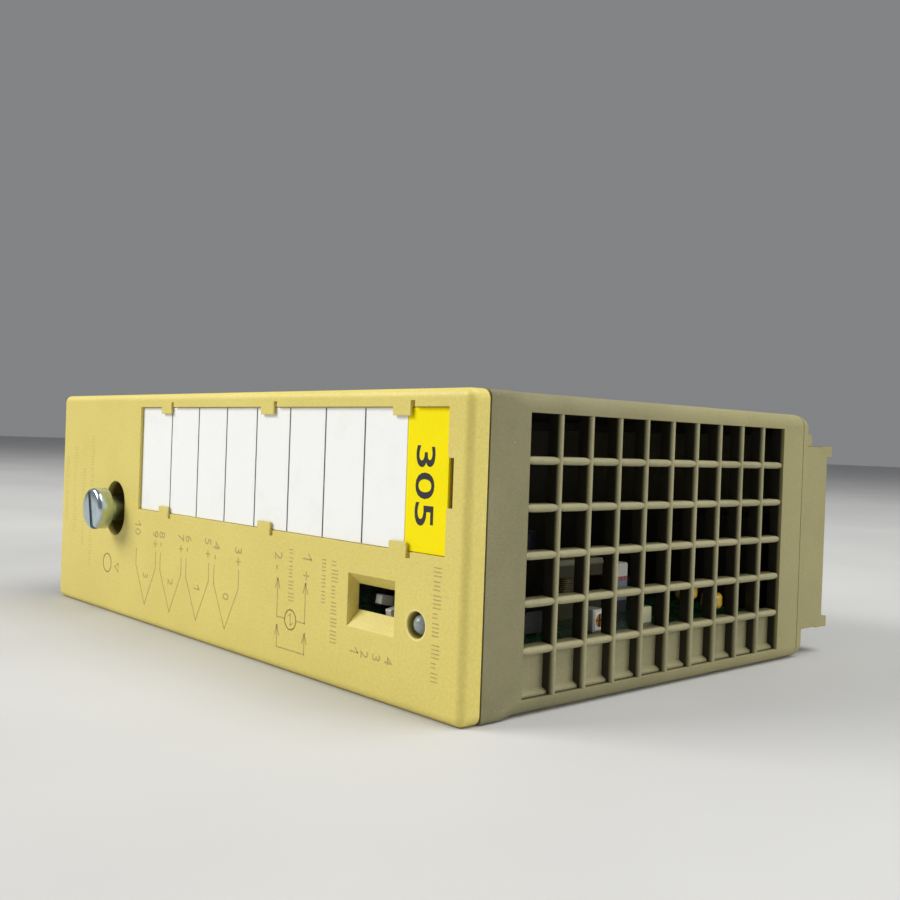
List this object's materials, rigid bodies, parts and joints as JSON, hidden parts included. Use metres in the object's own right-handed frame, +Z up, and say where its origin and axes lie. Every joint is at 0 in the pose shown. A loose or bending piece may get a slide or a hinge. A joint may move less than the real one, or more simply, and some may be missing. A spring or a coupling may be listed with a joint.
{
  "type": "plc module",
  "caption": "Slim plug-in analogue input module for a modular controller: front plate with labels, setting switch and captive screw, vented ends, rear plug.",
  "frame": {"origin": "under the middle of the whole module, on the face that it lies on", "axes": "+X from the bottom end to the top end, -Y out of the labelled front, +Z up across the width"},
  "size_m": [0.135, 0.1028, 0.0454],
  "materials": {
    "cover_plastic": "fine moulded satin, yellow-beige",
    "housing_plastic": "spark-eroded matt, olive-beige",
    "card_white": "smooth printed card",
    "card_yellow": "smooth printed card",
    "zinc_steel": "blue-passivated zinc plate",
    "black_plastic": "moulded epoxy",
    "white_plastic": "moulded nylon",
    "lamp_lens": "water-clear cast resin",
    "board_laminate": "green solder mask over glass laminate",
    "tinned_copper": "tinned",
    "gold_contact": "gold-flashed contact",
    "ferrite": "sintered, matt",
    "coil_former": "moulded phenolic, olive-brown",
    "winding_tape": "amber polyester tape",
    "capacitor_film": "potted box, printed",
    "capacitor_ceramic": "dipped, pale",
    "capacitor_tantalum": "dipped bead",
    "capacitor_sleeve": "shrunk sleeve",
    "rotor_brass": "machined, slotted",
    "resistor_coat": "lacquered, colour-banded",
    "solder": "solder"
  },
  "bodies": {
    "module_body": {"front_cover": "cover_plastic", "label_strip": "card_white", "slot_label": "card_yellow", "housing_shell": "housing_plastic", "top_grille": "housing_plastic", "bottom_grille": "housing_plastic", "rear_cover": "housing_plastic", "connector_shroud": "housing_plastic", "contact_carrier": "black_plastic", "terminal_contacts": "gold_contact", "bus_contacts": "gold_contact", "coding_key": "white_plastic", "dip_switch_body": "black_plastic", "status_lamp": "lamp_lens", "lamp_holder": "black_plastic", "lamp_leads": "tinned_copper", "circuit_board": "board_laminate", "transformer_core": "ferrite", "transformer_bobbin": "coil_former", "transformer_winding": "winding_tape", "trimmer_body": "white_plastic", "film_capacitors": "capacitor_film", "ceramic_capacitors": "capacitor_ceramic", "tantalum_capacitors": "capacitor_tantalum", "capacitor_legs": "tinned_copper", "electrolytic_capacitors": "capacitor_sleeve", "logic_packages": "black_plastic", "optocouplers": "white_plastic", "package_legs": "tinned_copper", "input_resistors": "resistor_coat", "resistor_leads": "tinned_copper", "crystal": "tinned_copper", "solder_joints": "solder"},
    "screw_carrier": {"retaining_ring": "zinc_steel"},
    "screw": {"fixing_screw": "zinc_steel"},
    "lever_1": {"dip_lever_1": "white_plastic"},
    "lever_2": {"dip_lever_2": "white_plastic"},
    "lever_3": {"dip_lever_3": "white_plastic"},
    "lever_4": {"dip_lever_4": "white_plastic"},
    "trimmer_disc": {"trimmer_rotor": "rotor_brass"}
  },
  "joints": [
    {"name": "screw_travel", "type": "slide", "parent": "module_body", "child": "screw_carrier", "axis": [0, 1, 0], "range_m": [0, 0.0075]},
    {"name": "screw_turn", "type": "hinge", "parent": "screw_carrier", "child": "screw", "pos_m": [-0.0392, -0.04605, 0.0219], "axis": [0, 1, 0], "continuous": true},
    {"name": "lever_1_flip", "type": "hinge", "parent": "module_body", "child": "lever_1", "pos_m": [0.04389, -0.03645, 0.01295], "axis": [1, 0, 0], "range_deg": [0, 22]},
    {"name": "lever_2_flip", "type": "hinge", "parent": "module_body", "child": "lever_2", "pos_m": [0.04643, -0.03645, 0.01295], "axis": [1, 0, 0], "range_deg": [-22, 0]},
    {"name": "lever_3_flip", "type": "hinge", "parent": "module_body", "child": "lever_3", "pos_m": [0.04897, -0.03645, 0.01295], "axis": [1, 0, 0], "range_deg": [-22, 0]},
    {"name": "lever_4_flip", "type": "hinge", "parent": "module_body", "child": "lever_4", "pos_m": [0.05151, -0.03645, 0.01295], "axis": [1, 0, 0], "range_deg": [-22, 0]},
    {"name": "trimmer_turn", "type": "hinge", "parent": "module_body", "child": "trimmer_disc", "pos_m": [0.0628, -0.01235, 0.0109], "axis": [1, 0, 0], "range_deg": [-135, 135]}
  ]
}
